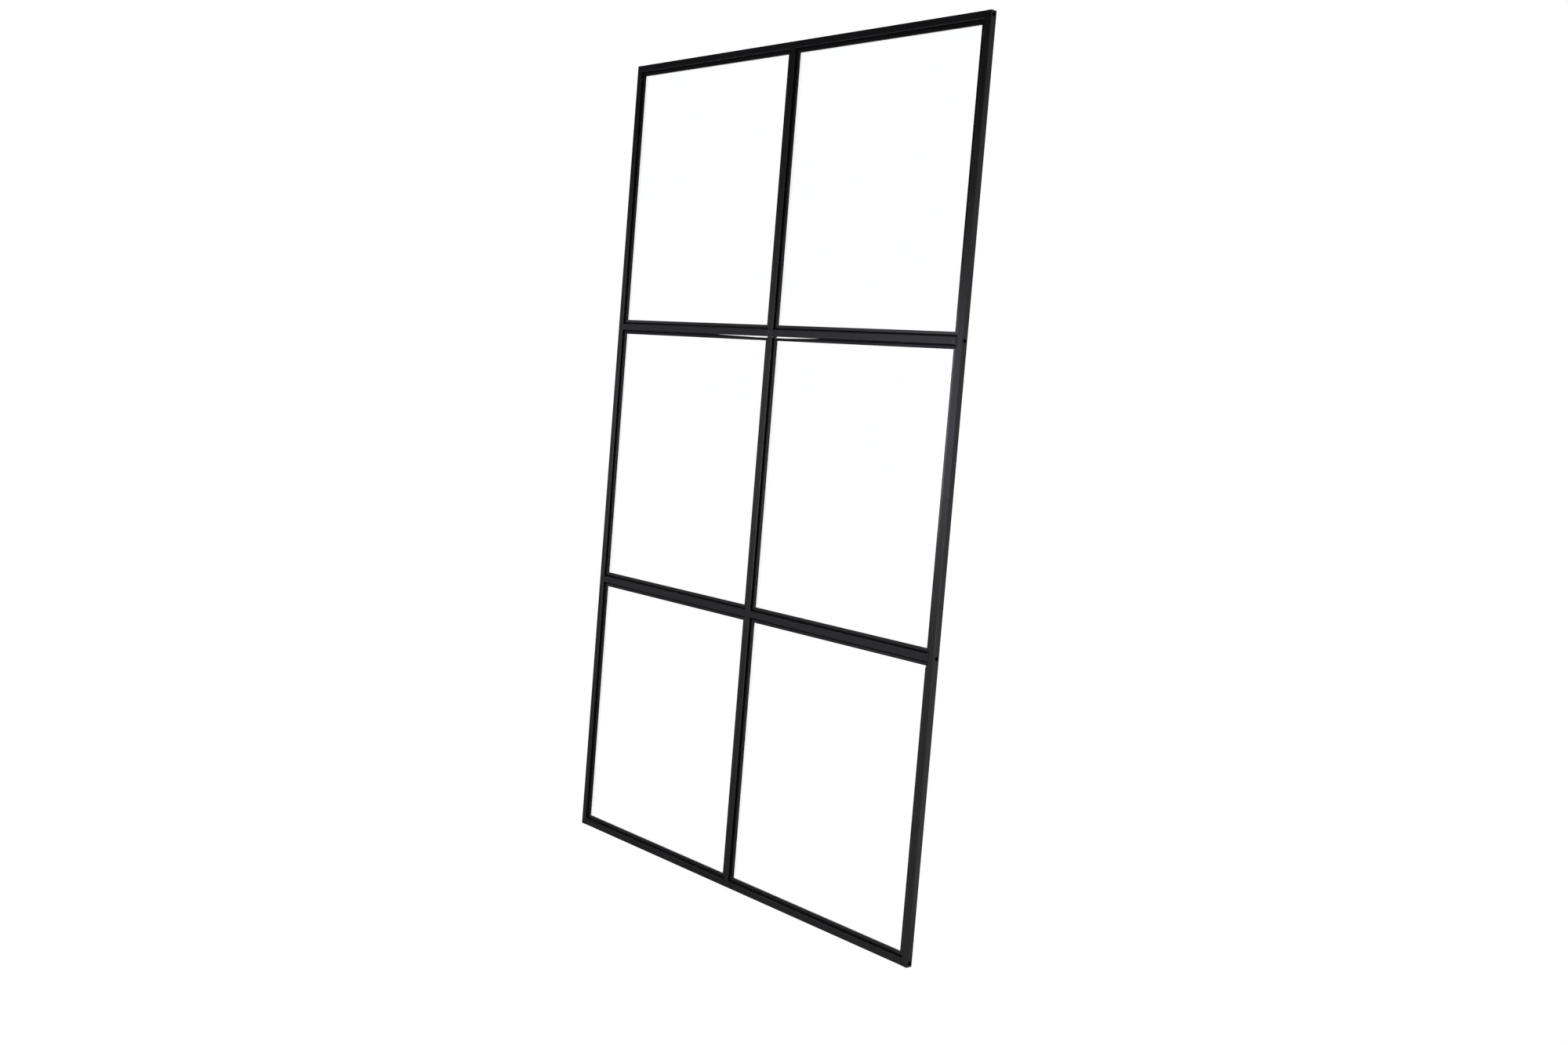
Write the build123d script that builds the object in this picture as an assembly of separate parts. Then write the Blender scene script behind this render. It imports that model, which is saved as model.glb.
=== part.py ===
from build123d import *
import os

# Interior glass partition: two columns and three rows of fixed panes in a black steel frame.
# The frame is square tube. Slim bars stand off the tubes and hold the glass: those beside the
# uprights are carried on small lugs, and the level ones join them in mitres.
# Millimetres. X runs along the width, Y from front to back, Z upwards.
# The origin is on the underside of the bottom rail, at the middle of its width and depth.

# Square tube of the frame
TUBE_SIZE = 20.0
TUBE_WALL = 1.5
TUBE_CORNER_RADIUS = 1.8
TUBE_INNER_RADIUS = 0.6

# Clear openings between the tubes
OPENING_WIDTH = 690.0
LOWER_OPENING_HEIGHT = 764.0
MIDDLE_OPENING_HEIGHT = 778.0
UPPER_OPENING_HEIGHT = 778.0

# Flat glazing bars in front of the glass
BAR_WIDTH = 8.0
BAR_DEPTH = 2.0
BAR_STANDOFF = 4.0
BAR_SETBACK = 6.0
BAR_ARRIS_RADIUS = 0.6

# Lugs that carry the bars beside the uprights, further back on the mullion than on the stiles
LUG_LENGTH = 5.0
LUG_DEPTH = 3.5
STILE_LUG_SETBACK = 0.3
MULLION_LUG_SETBACK = 1.0
LUG_EDGE_RADIUS = 1.2
LUG_CORNER_DISTANCE = 22.0

# Glass and the rubber channel round its edge
GLASS_THICKNESS = 4.0
GLASS_EDGE_GAP = 3.0
CHANNEL_BED = 1.0
CHANNEL_BACK_LEG = 1.0
CHANNEL_BACK_COVER = 1.2
CUSHION_DEPTH = 4.0
CUSHION_CLEARANCE = 1.0
CUSHION_SETBACK = 0.3

# Joints that stand open: the upper transom's right end, and the mitre at the top of each
# bar on the right stile
TRANSOM_END_GAP = 1.5
MITRE_GAPS = {"lower": 5.0, "middle": 2.5, "upper": 0.0}

# Wedge worn out of the channel over each middle pane, deepest at the mullion
WORN_DEPTH = 5.0
WORN_LENGTHS = {"left": 250.0, "right": 195.0}

# Screws through the stiles into the rails and transoms
ACCESS_HOLE_DIAMETER = 11.0
CLEARANCE_HOLE_DIAMETER = 5.6
SCREW_DIAMETER = 5.0
SCREW_LENGTH = 16.0
SCREW_HEAD_DIAMETER = 9.0
SCREW_HEAD_HEIGHT = 3.4
SCREW_SOCKET_WIDTH = 3.0
SCREW_SOCKET_DEPTH = 2.0

# Threaded plugs in the ends of the rails and transoms
PLUG_LENGTH = 18.0
PLUG_FIT = 0.1
PLUG_HOLE_DIAMETER = 5.2

# Caps in the ends of the stiles
CAP_HEAD = 2.0
CAP_EDGE_RADIUS = 0.8
CAP_SKIRT = 2.5
CAP_SKIRT_WALL = 2.0
CAP_FIT = 0.2

# Sizes that follow from these
TUBE_BORE = TUBE_SIZE - 2 * TUBE_WALL
HALF_TUBE = TUBE_SIZE / 2
FRAME_WIDTH = 2 * OPENING_WIDTH + 3 * TUBE_SIZE
RAIL_LENGTH = FRAME_WIDTH - 2 * TUBE_SIZE
OPENING_HEIGHTS = {
    "lower": LOWER_OPENING_HEIGHT,
    "middle": MIDDLE_OPENING_HEIGHT,
    "upper": UPPER_OPENING_HEIGHT,
}
FRAME_HEIGHT = sum(OPENING_HEIGHTS.values()) + 4 * TUBE_SIZE
STILE_X = (FRAME_WIDTH - TUBE_SIZE) / 2

FRONT_Y = -HALF_TUBE
BAR_FRONT_Y = FRONT_Y + BAR_SETBACK
BAR_BACK_Y = BAR_FRONT_Y + BAR_DEPTH
GLASS_FRONT_Y = BAR_BACK_Y + CUSHION_DEPTH
GLASS_BACK_Y = GLASS_FRONT_Y + GLASS_THICKNESS
CHANNEL_FRONT_Y = GLASS_FRONT_Y - CHANNEL_BED
CHANNEL_BACK_Y = GLASS_BACK_Y + CHANNEL_BACK_LEG
BAR_REACH = BAR_STANDOFF + BAR_WIDTH

# Bottom of each row of openings, and the middle of each horizontal tube
ROW_BOTTOMS = {
    "lower": TUBE_SIZE,
    "middle": 2 * TUBE_SIZE + LOWER_OPENING_HEIGHT,
    "upper": 3 * TUBE_SIZE + LOWER_OPENING_HEIGHT + MIDDLE_OPENING_HEIGHT,
}
RAIL_LEVELS = {
    "bottom_rail": HALF_TUBE,
    "lower_transom": ROW_BOTTOMS["middle"] - HALF_TUBE,
    "upper_transom": ROW_BOTTOMS["upper"] - HALF_TUBE,
    "top_rail": FRAME_HEIGHT - HALF_TUBE,
}
COLUMN_LEFTS = {"left": TUBE_SIZE - FRAME_WIDTH / 2, "right": HALF_TUBE}


def save(node, solids):
    """Write the solids of one node to its own file."""
    for solid in solids:
        solid.label = node
    shape = solids[0] if len(solids) == 1 else Compound(children=list(solids), label=node)
    export_step(shape, f"parts/{node}.step")


def tube(length):
    """Square tube with rounded corners, upright on the XY plane."""
    outside = RectangleRounded(TUBE_SIZE, TUBE_SIZE, TUBE_CORNER_RADIUS)
    inside = RectangleRounded(TUBE_BORE, TUBE_BORE, TUBE_INNER_RADIUS)
    return extrude(outside - inside, length).solid()


def box_between(low, high):
    """Box from its lowest corner to its highest corner."""
    size = [high[i] - low[i] for i in range(3)]
    middle = [(high[i] + low[i]) / 2 for i in range(3)]
    return Pos(*middle) * Box(*size)


def along_x(radius, length, x, z):
    """Round bar along X that starts at x, on the middle plane of the frame."""
    return Pos(x + length / 2, 0, z) * Rot(0, 90, 0) * Cylinder(radius, length)


def stile(side):
    """Upright tube at the left or right edge, with its screw and access holes."""
    sign = -1 if side == "left" else 1
    upright = Pos(sign * STILE_X, 0, CAP_HEAD) * tube(FRAME_HEIGHT - 2 * CAP_HEAD)
    for level in RAIL_LEVELS.values():
        hole_start = sign * STILE_X - HALF_TUBE
        clearance = along_x(CLEARANCE_HOLE_DIAMETER / 2, TUBE_SIZE, hole_start, level)
        access_start = sign * STILE_X if sign > 0 else sign * STILE_X - TUBE_SIZE
        access = along_x(ACCESS_HOLE_DIAMETER / 2, TUBE_SIZE, access_start, level)
        upright = upright - clearance - access
    return upright.solid()


def end_gap(side, name):
    """Gap between one end of a horizontal tube and the stile that it faces."""
    return TRANSOM_END_GAP if (side, name) == ("right", "upper_transom") else 0.0


def rail(name):
    """Horizontal tube between the two stiles."""
    length = RAIL_LENGTH - end_gap("right", name)
    return (Pos(-RAIL_LENGTH / 2, 0, RAIL_LEVELS[name]) * Rot(0, 90, 0) * tube(length)).solid()


def mullion(row):
    """Middle upright of one row, coped at both ends over the rounded arrises of the tubes it meets."""
    bottom = ROW_BOTTOMS[row]
    height = OPENING_HEIGHTS[row]
    upright = Pos(0, 0, bottom - TUBE_CORNER_RADIUS) * tube(height + 2 * TUBE_CORNER_RADIUS)
    crossing = extrude(RectangleRounded(TUBE_SIZE, TUBE_SIZE, TUBE_CORNER_RADIUS), 2 * TUBE_SIZE)
    crossing = Pos(-TUBE_SIZE, 0, 0) * Rot(0, 90, 0) * crossing
    for level in (bottom - HALF_TUBE, bottom + height + HALF_TUBE):
        upright = upright - Pos(0, 0, level) * crossing
    return upright.solid()


def glazing_bar(length, mitre_gap=0.0):
    """Bar along +X above a tube face at Z = 0, mitred at both ends.

    The opening's corners are at X = 0 and X = length. mitre_gap is what the bar lacks at its end.
    """
    profile = Polygon(
        (BAR_STANDOFF, BAR_STANDOFF),
        (length - mitre_gap - BAR_STANDOFF, BAR_STANDOFF),
        (length - mitre_gap - BAR_REACH, BAR_REACH),
        (BAR_REACH, BAR_REACH),
        align=None,
    )
    bar = extrude(Plane.XZ * profile, -BAR_DEPTH).translate((0, BAR_FRONT_Y, 0))
    return fillet(bar.edges().filter_by(Axis.X), BAR_ARRIS_RADIUS)


def lug_places(upright, height):
    """Places along a bar for its lugs: one at the middle, and on a stile one near each corner too."""
    if upright == "mullion":
        return [height / 2]
    return [LUG_CORNER_DISTANCE, height / 2, height - LUG_CORNER_DISTANCE]


def upright_bars(upright, face_x, direction, mitres_open=False):
    """Bars with their lugs beside an upright, one in each row.

    upright is "stile" or "mullion". direction is the side of face_x that the bars stand on.
    """
    setback = MULLION_LUG_SETBACK if upright == "mullion" else STILE_LUG_SETBACK
    lug = extrude(RectangleRounded(LUG_LENGTH, LUG_DEPTH, LUG_EDGE_RADIUS), BAR_STANDOFF + BAR_ARRIS_RADIUS)
    lug_y = BAR_FRONT_Y + setback + LUG_DEPTH / 2
    bars = []
    for row, height in OPENING_HEIGHTS.items():
        bar = glazing_bar(height, MITRE_GAPS[row] if mitres_open else 0.0)
        for place in lug_places(upright, height):
            bar = bar + Pos(place, lug_y, 0) * lug
        bar = Rot(0, -90, 0) * bar
        if direction > 0:
            bar = mirror(bar, Plane.YZ)
        bars.append((Pos(face_x, 0, ROW_BOTTOMS[row]) * bar).solid())
    return bars


def level_bars(face_z, direction):
    """Bars over or under a horizontal tube, one in each column."""
    bar = glazing_bar(OPENING_WIDTH)
    if direction < 0:
        bar = mirror(bar, Plane.XY)
    return [(Pos(left, 0, face_z) * bar).solid() for left in COLUMN_LEFTS.values()]


def inset_box(column, row, inset, front_y, back_y):
    """Box over one opening, set in from its four sides."""
    left = COLUMN_LEFTS[column]
    bottom = ROW_BOTTOMS[row]
    low = (left + inset, front_y, bottom + inset)
    high = (left + OPENING_WIDTH - inset, back_y, bottom + OPENING_HEIGHTS[row] - inset)
    return box_between(low, high)


def pane(column, row):
    """Sheet of clear glass, a small gap short of the tubes all round."""
    return inset_box(column, row, GLASS_EDGE_GAP, GLASS_FRONT_Y, GLASS_BACK_Y).solid()


def worn_wedge(column):
    """Wedge that is missing from the channel over a middle pane, from the mullion outwards."""
    top = ROW_BOTTOMS["middle"] + MIDDLE_OPENING_HEIGHT
    outline = Polygon(
        (HALF_TUBE, top),
        (HALF_TUBE, top - WORN_DEPTH),
        (HALF_TUBE + WORN_LENGTHS[column], top),
        align=None,
    )
    wedge = extrude(Plane.XZ * outline, CHANNEL_FRONT_Y - CHANNEL_BACK_Y)
    wedge = wedge.translate((0, CHANNEL_FRONT_Y, 0))
    return mirror(wedge, Plane.YZ) if column == "left" else wedge


def rubber_channel(column, row):
    """Rubber channel round the edge of one pane, with a thick cushion behind the bars.

    Its bed closes the gap beside the tubes, and its back leg is a narrow lip.
    """
    cushion_inset = BAR_REACH - CUSHION_SETBACK
    back_cover = GLASS_EDGE_GAP + CHANNEL_BACK_COVER
    channel = inset_box(column, row, 0, CHANNEL_FRONT_Y, CHANNEL_BACK_Y)
    if row == "middle":
        channel = channel - worn_wedge(column)
    cushion = inset_box(column, row, BAR_STANDOFF + CUSHION_CLEARANCE, BAR_BACK_Y, CHANNEL_FRONT_Y)
    channel = channel + cushion
    channel = channel - inset_box(column, row, cushion_inset, BAR_BACK_Y, GLASS_FRONT_Y)
    channel = channel - inset_box(column, row, back_cover, GLASS_BACK_Y, CHANNEL_BACK_Y)
    channel = channel - pane(column, row)
    return channel.solid()


def screw(side, level):
    """Socket screw: its head bears on the stile's inner wall, its shank ends in the rail's plug."""
    sign = -1 if side == "left" else 1
    seat_x = STILE_X - HALF_TUBE + TUBE_WALL
    shank = along_x(SCREW_DIAMETER / 2, SCREW_LENGTH, seat_x - SCREW_LENGTH, level)
    head = along_x(SCREW_HEAD_DIAMETER / 2, SCREW_HEAD_HEIGHT, seat_x, level)
    socket_face = Plane(origin=(seat_x + SCREW_HEAD_HEIGHT, 0, level), z_dir=(-1, 0, 0))
    hexagon = RegularPolygon(SCREW_SOCKET_WIDTH / 2, 6, major_radius=False)
    socket = extrude(socket_face * hexagon, SCREW_SOCKET_DEPTH)
    whole = shank + head - socket
    if sign < 0:
        whole = mirror(whole, Plane.YZ)
    return whole.solid()


def plug(side, name):
    """Threaded plug welded into the end of a rail or transom."""
    sign = -1 if side == "left" else 1
    width = TUBE_BORE - 2 * PLUG_FIT
    block = extrude(RectangleRounded(width, width, TUBE_INNER_RADIUS), PLUG_LENGTH)
    level = RAIL_LEVELS[name]
    start = RAIL_LENGTH / 2 - end_gap(side, name) - PLUG_LENGTH
    block = Pos(start, 0, level) * Rot(0, 90, 0) * block
    block = block - along_x(PLUG_HOLE_DIAMETER / 2, PLUG_LENGTH, start, level)
    if sign < 0:
        block = mirror(block, Plane.YZ)
    return block.solid()


def end_cap(side, end):
    """Cap with a rounded head, flush with the stile, and a short skirt inside it."""
    sign = -1 if side == "left" else 1
    head = extrude(RectangleRounded(TUBE_SIZE, TUBE_SIZE, TUBE_CORNER_RADIUS), CAP_HEAD)
    head = fillet(head.faces().sort_by(Axis.Z)[0].edges(), CAP_EDGE_RADIUS)
    skirt_size = TUBE_BORE - 2 * CAP_FIT
    hollow_size = skirt_size - 2 * CAP_SKIRT_WALL
    section = RectangleRounded(skirt_size, skirt_size, TUBE_INNER_RADIUS)
    section = section - Rectangle(hollow_size, hollow_size)
    cap = head + Pos(0, 0, CAP_HEAD) * extrude(section, CAP_SKIRT)
    if end == "top":
        cap = Pos(0, 0, FRAME_HEIGHT) * mirror(cap, Plane.XY)
    return (Pos(sign * STILE_X, 0, 0) * cap).solid()


os.makedirs("parts", exist_ok=True)

save("left_stile", [stile("left")])
save("right_stile", [stile("right")])
for name in RAIL_LEVELS:
    save(name, [rail(name)])
for row in OPENING_HEIGHTS:
    save(f"mullion_{row}", [mullion(row)])

inner_stile_x = STILE_X - HALF_TUBE
save("left_stile_bars", upright_bars("stile", -inner_stile_x, 1))
save("mullion_left_bars", upright_bars("mullion", -HALF_TUBE, -1))
save("mullion_right_bars", upright_bars("mullion", HALF_TUBE, 1))
save("right_stile_bars", upright_bars("stile", inner_stile_x, -1, mitres_open=True))

save("bottom_rail_bars", level_bars(ROW_BOTTOMS["lower"], 1))
save("lower_transom_bottom_bars", level_bars(ROW_BOTTOMS["middle"] - TUBE_SIZE, -1))
save("lower_transom_top_bars", level_bars(ROW_BOTTOMS["middle"], 1))
save("upper_transom_bottom_bars", level_bars(ROW_BOTTOMS["upper"] - TUBE_SIZE, -1))
save("upper_transom_top_bars", level_bars(ROW_BOTTOMS["upper"], 1))
save("top_rail_bars", level_bars(FRAME_HEIGHT - TUBE_SIZE, -1))

for row in OPENING_HEIGHTS:
    for column in COLUMN_LEFTS:
        save(f"glass_{row}_{column}", [pane(column, row)])
        save(f"rubber_{row}_{column}", [rubber_channel(column, row)])

sides = ("left", "right")
save("assembly_screws", [screw(side, level) for side in sides for level in RAIL_LEVELS.values()])
save("rail_end_plugs", [plug(side, name) for side in sides for name in RAIL_LEVELS])
save("stile_end_caps", [end_cap(side, end) for side in sides for end in ("bottom", "top")])
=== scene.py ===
"""Looks of the interior glass partition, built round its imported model.

Metres, in the model's own frame: X runs along the width, Y from front to back, Z upwards.
The steel tubes, bars, panes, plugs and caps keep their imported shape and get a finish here. The
tack welds on the lugs, the rubber channels and the screws are modelled here.
"""

import logging
import math
from collections.abc import Callable
from dataclasses import dataclass, field
from enum import Enum

import bmesh
import bpy
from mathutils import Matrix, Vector


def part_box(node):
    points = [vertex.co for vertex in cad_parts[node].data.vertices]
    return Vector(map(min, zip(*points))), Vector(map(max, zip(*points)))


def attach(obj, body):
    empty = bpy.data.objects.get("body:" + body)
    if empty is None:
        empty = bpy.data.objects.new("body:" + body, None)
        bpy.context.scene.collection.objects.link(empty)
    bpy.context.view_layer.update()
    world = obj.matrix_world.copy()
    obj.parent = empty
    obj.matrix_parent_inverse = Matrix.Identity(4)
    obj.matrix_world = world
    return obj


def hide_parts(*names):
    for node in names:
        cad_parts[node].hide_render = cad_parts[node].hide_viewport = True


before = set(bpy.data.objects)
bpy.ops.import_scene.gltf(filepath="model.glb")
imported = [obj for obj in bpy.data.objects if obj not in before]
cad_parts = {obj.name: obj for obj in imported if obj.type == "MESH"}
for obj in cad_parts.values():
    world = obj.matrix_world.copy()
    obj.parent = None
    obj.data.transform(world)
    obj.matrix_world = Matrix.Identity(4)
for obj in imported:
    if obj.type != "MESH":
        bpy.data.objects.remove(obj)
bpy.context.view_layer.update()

BODY = "root"
MM = 0.001
LOG = logging.getLogger("glass_partition")

# Faces that meet at less than this, in degrees, are shaded as one round surface
SMOOTH_ANGLE = 35.0

# A face looks up or down where its normal has more than this along Z
FACING = 0.5

Colour = tuple[float, float, float]
Point = tuple[float, float, float]

# Where a smooth step starts and ends
Edge = tuple[float, float]


class Axis(Enum):
    """Directions of the model's frame, by their index."""

    X = 0
    Y = 1
    Z = 2


class Column(Enum):
    """The two columns of panes."""

    LEFT = "left"
    RIGHT = "right"


class Row(Enum):
    """The three rows of panes."""

    LOWER = "lower"
    MIDDLE = "middle"
    UPPER = "upper"


# Shader maths

class Value:
    """One output of a node. Arithmetic on it adds Math nodes."""

    def __init__(self, graph: "Graph", socket: bpy.types.NodeSocket | None) -> None:
        """Keep the socket and the graph that it belongs to.

        Args:
            graph: The graph that adds further nodes.
            socket: The output socket that this value stands for. A node at the end has none.
        """
        self.graph = graph
        self.socket = socket

    def _math(self, operation: str, first: "Number", second: "Number") -> "Value":
        """Add one Math node.

        Args:
            operation: Name of the Math node's operation.
            first: First operand.
            second: Second operand.

        Returns:
            The node's result.
        """
        return self.graph.node("ShaderNodeMath", {"operation": operation}, {0: first, 1: second})

    def __add__(self, other: "Number") -> "Value":
        """Sum."""
        return self._math("ADD", self, other)

    def __radd__(self, other: "Number") -> "Value":
        """Sum, reflected."""
        return self._math("ADD", other, self)

    def __sub__(self, other: "Number") -> "Value":
        """Difference."""
        return self._math("SUBTRACT", self, other)

    def __rsub__(self, other: "Number") -> "Value":
        """Difference, reflected."""
        return self._math("SUBTRACT", other, self)

    def __mul__(self, other: "Number") -> "Value":
        """Product."""
        return self._math("MULTIPLY", self, other)

    def __rmul__(self, other: "Number") -> "Value":
        """Product, reflected."""
        return self._math("MULTIPLY", other, self)

    def __or__(self, other: "Number") -> "Value":
        """The larger of the two, which joins two masks."""
        return self._math("MAXIMUM", self, other)

    def step(self, low: float, high: float) -> "Value":
        """Smooth step from 0 at low to 1 at high.

        Args:
            low: Where the step starts.
            high: Where the step ends. It may be below low, which turns the step round.

        Returns:
            The mask between 0 and 1.
        """
        settings = {"interpolation_type": "SMOOTHSTEP"}
        return self.graph.node("ShaderNodeMapRange", settings, {"Value": self, 1: low, 2: high})


Number = Value | float
Link = Value | float | tuple


class Graph:
    """Builds the nodes of one material or of the world."""

    def __init__(self, tree: bpy.types.NodeTree) -> None:
        """Empty the node tree.

        Args:
            tree: The node tree to fill.
        """
        self.tree = tree
        tree.nodes.clear()

    def node(
        self,
        kind: str,
        settings: dict[str, object] | None = None,
        sockets: dict[str | int, Link] | None = None,
        output: str | int = 0,
    ) -> Value:
        """Add one node of any type.

        Args:
            kind: Type of the node, such as ShaderNodeTexNoise.
            settings: The node's own properties, set before its sockets.
            sockets: Values or links for input sockets, by name or index.
            output: The output socket to return, by name or index.

        Returns:
            The chosen output.
        """
        made = self.tree.nodes.new(kind)
        for name, setting in (settings or {}).items():
            setattr(made, name, setting)
        for name, link in (sockets or {}).items():
            if isinstance(link, Value):
                self.tree.links.new(link.socket, made.inputs[name])
            else:
                made.inputs[name].default_value = link
        return Value(self, made.outputs[output] if len(made.outputs) else None)

    def mix(self, factor: Number, first: Link, second: Link) -> Value:
        """Mix two colours.

        Args:
            factor: Share of the second colour.
            first: Colour at 0.
            second: Colour at 1.

        Returns:
            The mixed colour.
        """
        first = (*first, 1.0) if isinstance(first, tuple) else first
        second = (*second, 1.0) if isinstance(second, tuple) else second
        # The node's colour sockets, which share their names with those for numbers and vectors
        sockets = {0: factor, 6: first, 7: second}
        return self.node("ShaderNodeMix", {"data_type": "RGBA"}, sockets, 2)

    def place(self, scale: Point = (1.0, 1.0, 1.0)) -> Value:
        """Object coordinates, stretched by a Mapping node.

        Args:
            scale: Scale along each axis.

        Returns:
            The coordinates.
        """
        coordinates = self.node("ShaderNodeTexCoord", output="Object")
        return self.node("ShaderNodeMapping", {}, {"Vector": coordinates, "Scale": scale})

    def noise(self, where: Value, scale: float, detail: float = 2.0) -> Value:
        """Noise between 0 and 1.

        Args:
            where: Coordinates to read.
            scale: Features to the metre.
            detail: Number of finer octaves.

        Returns:
            The noise's value.
        """
        sockets = {"Vector": where, "Scale": scale, "Detail": detail}
        return self.node("ShaderNodeTexNoise", {}, sockets, "Fac")

    def bump(self, height: Value, depth: float, strength: float) -> Value:
        """Normal of a surface with fine relief.

        Args:
            height: Relief between 0 and 1.
            depth: Depth of the relief in metres.
            strength: Share of the relief that shows.

        Returns:
            The bumped normal.
        """
        sockets = {"Height": height, "Distance": depth, "Strength": strength}
        return self.node("ShaderNodeBump", {}, sockets, "Normal")

    def show(self, shader: Value, output: str = "ShaderNodeOutputMaterial") -> None:
        """Send a shader to the output.

        Args:
            shader: The finished shader.
            output: Type of the output node.
        """
        self.node(output, {}, {"Surface": shader})


def new_graph(name: str) -> tuple[bpy.types.Material, Graph]:
    """Make a material with an empty graph.

    Args:
        name: Name of the material.

    Returns:
        The material and its graph.
    """
    made = bpy.data.materials.new(name)
    made.use_nodes = True
    return made, Graph(made.node_tree)


# Finishes

@dataclass(frozen=True)
class PowderCoat:
    """Satin black powder coat on steel: orange peel, streaks along the tube, dust on top."""

    name: str
    run: Axis
    colour: Colour = (0.0040, 0.0038, 0.0048)
    worn_colour: Colour = (0.0102, 0.0098, 0.0116)
    dust_colour: Colour = (0.052, 0.050, 0.047)
    # Lighter specks of worn coat, lightened further as a painted highlight
    speck_and_highlight_colour: Colour = (0.090, 0.088, 0.092)
    roughness: float = 0.30
    shine: float = 0.32
    cloud_scale: float = 9.0
    cloud_edge: Edge = (0.35, 0.75)
    cloud_share: float = 0.55
    cloud_roughness: float = 0.05
    streak_scale: float = 260.0
    streak_stretch: float = 0.02
    streak_edge: Edge = (0.45, 0.8)
    streak_share: float = 0.45
    streak_roughness: float = 0.05
    streak_relief: float = 2.0
    peel_scale: float = 900.0
    relief_depth: float = 0.03 * MM
    relief_strength: float = 0.6
    dust_scale: float = 40.0
    dust_edge: Edge = (0.4, 0.7)
    dust_slope: Edge = (0.6, 0.95)
    dust_share: float = 0.6
    dust_roughness: float = 0.25
    speck_scale: float = 420.0
    speck_edge: Edge = (0.50, 0.60)
    speck_and_highlight_share: float = 0.8
    speck_relief: float = 0.6
    # Centres of the worn specks with their painted highlight, the radius they reach, and the share of it
    # where they are full
    rubbed_and_highlit: tuple[Point, ...] = ()
    rubbed_highlit_radius: float = 17 * MM
    rubbed_highlit_core: float = 0.3

    def material(self) -> bpy.types.Material:
        """Build the coat.

        Returns:
            The finished material.
        """
        made, graph = new_graph(self.name)
        stretch = [1.0, 1.0, 1.0]
        stretch[self.run.value] = self.streak_stretch
        streaks = graph.noise(graph.place(tuple(stretch)), self.streak_scale, detail=3.0)
        clouds = graph.noise(graph.place(), self.cloud_scale, detail=4.0)
        peel = graph.noise(graph.place(), self.peel_scale)
        tone = clouds.step(*self.cloud_edge) * self.cloud_share
        tone = tone + streaks.step(*self.streak_edge) * self.streak_share
        colour = graph.mix(tone, self.colour, self.worn_colour)
        dust = self._dust(graph)
        colour = graph.mix(dust, colour, self.dust_colour)
        # Worn specks at the given spots, mixed lighter as a painted highlight
        specks = self._specks_and_highlight(graph)
        colour = graph.mix(specks, colour, self.speck_and_highlight_colour)
        roughness = self.roughness + self.cloud_roughness * clouds + self.streak_roughness * streaks
        relief = peel + self.streak_relief * streaks + self.speck_relief * specks
        sockets = {
            "Base Color": colour,
            "Roughness": roughness + self.dust_roughness * dust,
            "Specular IOR Level": self.shine,
            "Normal": graph.bump(relief, self.relief_depth, self.relief_strength),
        }
        graph.show(graph.node("ShaderNodeBsdfPrincipled", {}, sockets))
        return made

    def _dust(self, graph: Graph) -> Value:
        """Thin dust on faces that look up.

        Args:
            graph: Graph of the coat.

        Returns:
            Mask of the dust.
        """
        normal = graph.node("ShaderNodeNewGeometry", output="Normal")
        upwards = graph.node("ShaderNodeSeparateXYZ", {}, {"Vector": normal}, "Z")
        patches = graph.noise(graph.place(), self.dust_scale, detail=5.0)
        return upwards.step(*self.dust_slope) * patches.step(*self.dust_edge) * self.dust_share

    def _specks_and_highlight(self, graph: Graph) -> Value:
        """Worn specks beside a joint, lighter as a painted highlight.

        Args:
            graph: Graph of the coat.

        Returns:
            Mask of the specks.
        """
        mask: Number = 0.0
        fine = graph.noise(graph.place(), self.speck_scale).step(*self.speck_edge)
        core = self.rubbed_highlit_core * self.rubbed_highlit_radius
        for point in self.rubbed_and_highlit:
            sockets = {0: graph.place(), 1: point}
            distance = graph.node("ShaderNodeVectorMath", {"operation": "DISTANCE"}, sockets, "Value")
            mask = distance.step(self.rubbed_highlit_radius, core) * self.speck_and_highlight_share + mask
        return fine * mask


@dataclass(frozen=True)
class Rubber:
    """Matt black glazing rubber with a faint bloom and a fine skin."""

    name: str = "glazing_rubber_matt"
    colour: Colour = (0.0035, 0.0035, 0.0038)
    bloom_colour: Colour = (0.011, 0.011, 0.0115)
    roughness: float = 0.78
    shine: float = 0.18
    bloom_scale: float = 30.0
    bloom_edge: Edge = (0.4, 0.75)
    bloom_roughness: float = 0.15
    skin_scale: float = 1500.0
    skin_depth: float = 0.02 * MM
    skin_strength: float = 0.5

    def material(self) -> bpy.types.Material:
        """Build the rubber.

        Returns:
            The finished material.
        """
        made, graph = new_graph(self.name)
        bloom = graph.noise(graph.place(), self.bloom_scale, detail=5.0)
        skin = graph.noise(graph.place(), self.skin_scale)
        sockets = {
            "Base Color": graph.mix(bloom.step(*self.bloom_edge), self.colour, self.bloom_colour),
            "Roughness": self.roughness + self.bloom_roughness * bloom,
            "Specular IOR Level": self.shine,
            "Normal": graph.bump(skin, self.skin_depth, self.skin_strength),
        }
        graph.show(graph.node("ShaderNodeBsdfPrincipled", {}, sockets))
        return made


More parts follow.
